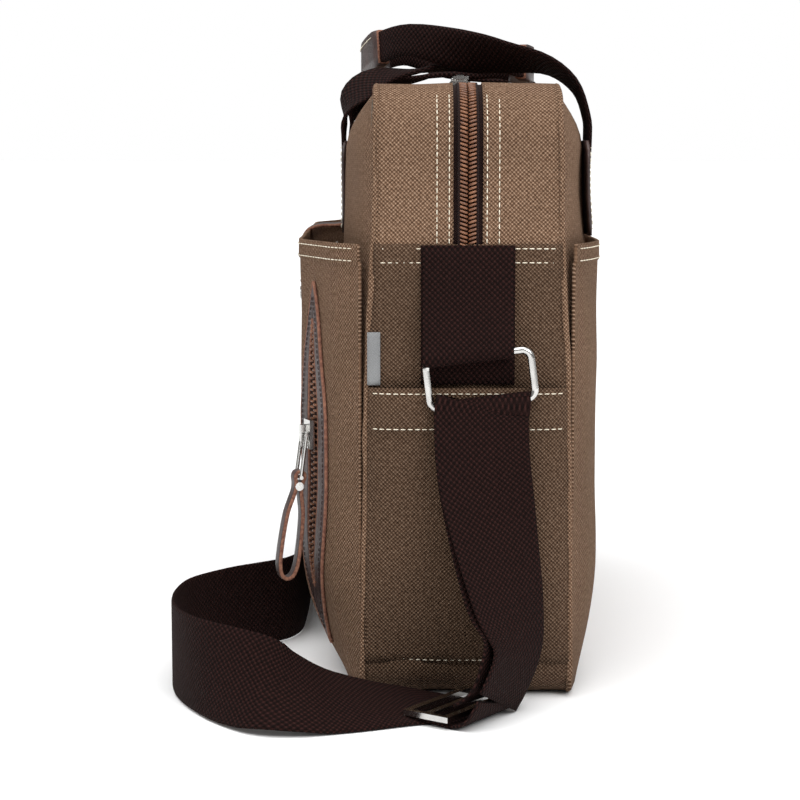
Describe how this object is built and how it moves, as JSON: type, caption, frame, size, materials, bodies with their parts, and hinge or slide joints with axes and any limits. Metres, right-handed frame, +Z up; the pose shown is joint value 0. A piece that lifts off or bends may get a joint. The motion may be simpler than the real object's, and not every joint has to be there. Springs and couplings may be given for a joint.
{
  "type": "messenger bag",
  "caption": "Upright canvas messenger bag with a zipped top, front zip pocket, slip pockets, hand grips and a webbing shoulder strap on metal rings.",
  "frame": {"origin": "centre of the base's flat underside, on the surface that the bag stands on", "axes": "+X along the bag's width towards the end with the strap adjuster, -Y out of the front face, +Z up"},
  "size_m": [0.5657, 0.2367, 0.3677],
  "materials": {
    "canvas": "washed heavy cotton canvas, khaki brown, plain weave",
    "lining": "smooth brown lining cloth",
    "board": "black fibre board",
    "zip_tape": "dark brown woven zip tape",
    "zip_coil": "copper brown nylon coil",
    "metal": "polished nickel plate",
    "leather": "waxed dark brown leather with raw edges",
    "webbing": "dark chocolate cotton webbing, coarse basket weave",
    "ribbon": "plain grey ribbon"
  },
  "bodies": {
    "bag": {"front_panel": "canvas", "back_panel": "canvas", "zip_gusset_front": "canvas", "zip_gusset_back": "canvas", "side_gusset_right": "canvas", "side_gusset_left": "canvas", "base_panel": "canvas", "base_board": "board", "lining": "lining", "laptop_divider": "lining", "inner_pocket": "lining", "main_zip_tape": "zip_tape", "main_zip_coil": "zip_coil", "front_pocket": "canvas", "front_pocket_divider": "lining", "front_zip_frame": "leather", "front_zip_tape": "zip_tape", "front_zip_coil": "zip_coil", "tab_patch": "leather", "snap_socket": "metal", "back_pocket": "canvas", "side_pocket_right": "canvas", "side_pocket_left": "canvas", "anchor_strip_right": "webbing", "anchor_strip_left": "webbing", "ring_tab_right": "webbing", "ring_tab_left": "webbing", "shoulder_strap": "webbing", "strap_return": "webbing", "front_patch_right": "leather", "front_patch_left": "leather", "back_patch_right": "leather", "back_patch_left": "leather", "side_tag": "ribbon"},
    "main_slider_right": {"main_slider_right": "metal"},
    "main_pull_right": {"main_pull_right": "metal"},
    "main_slider_left": {"main_slider_left": "metal"},
    "main_pull_left": {"main_pull_left": "metal"},
    "front_slider": {"front_slider": "metal"},
    "front_pull": {"front_pull_hook": "metal", "front_pull_loop": "leather", "front_pull_rivet": "metal"},
    "ring_right": {"ring_right": "metal"},
    "ring_left": {"ring_left": "metal"},
    "back_handle": {"back_handle": "webbing", "back_grip": "leather"},
    "front_handle": {"front_handle": "webbing", "front_grip": "leather"},
    "snap_tab": {"snap_tab": "leather", "snap_cap": "metal"},
    "adjuster": {"adjuster": "metal"}
  },
  "joints": [
    {"name": "main_slider_right_travel", "type": "slide", "parent": "bag", "child": "main_slider_right", "axis": [1, 0, 0], "range_m": [0, 0.11]},
    {"name": "main_pull_right_flip", "type": "hinge", "parent": "main_slider_right", "child": "main_pull_right", "pos_m": [0.0303, 0, 0.3373], "axis": [0, -1, 0], "range_deg": [0, 100]},
    {"name": "main_slider_left_travel", "type": "slide", "parent": "bag", "child": "main_slider_left", "axis": [-1, 0, 0], "range_m": [0, 0.15]},
    {"name": "main_pull_left_flip", "type": "hinge", "parent": "main_slider_left", "child": "main_pull_left", "pos_m": [0.0137, 0, 0.3373], "axis": [0, 1, 0], "range_deg": [0, 100]},
    {"name": "front_slider_travel", "type": "slide", "parent": "bag", "child": "front_slider", "axis": [0, 0, 1], "range_m": [-0.075, 0.05]},
    {"name": "front_pull_swing", "type": "hinge", "parent": "front_slider", "child": "front_pull", "pos_m": [0.14999, -0.08922, 0.139], "axis": [-0.9285, -0.3714, 0], "range_deg": [0, 110]},
    {"name": "ring_right_swing", "type": "hinge", "parent": "bag", "child": "ring_right", "pos_m": [0.2005, 0.005, 0.188], "axis": [0, -0.9925, -0.1219], "range_deg": [0, 50], "deforming": ["shoulder_strap", "strap_return"]},
    {"name": "ring_left_swing", "type": "hinge", "parent": "bag", "child": "ring_left", "pos_m": [-0.2005, 0, 0.188], "axis": [0, 1, 0], "range_deg": [0, 50], "deforming": ["shoulder_strap"]},
    {"name": "back_handle_lift", "type": "hinge", "parent": "bag", "child": "back_handle", "pos_m": [0, 0.0685, 0.302], "axis": [-1, 0, 0], "range_deg": [0, 80]},
    {"name": "front_handle_lift", "type": "hinge", "parent": "bag", "child": "front_handle", "pos_m": [0, -0.0685, 0.302], "axis": [1, 0, 0], "range_deg": [0, 60]},
    {"name": "snap_tab_open", "type": "hinge", "parent": "bag", "child": "snap_tab", "pos_m": [0, -0.0681, 0.2497], "axis": [-1, 0, 0], "range_deg": [0, 80]},
    {"name": "adjuster_slide", "type": "slide", "parent": "bag", "child": "adjuster", "axis": [0.5878, 0.809, 0], "range_m": [0, 0.012]}
  ],
  "couplings": [
    {"joint": "front_handle_lift", "follows": "back_handle_lift", "ratio": 0.75}
  ]
}
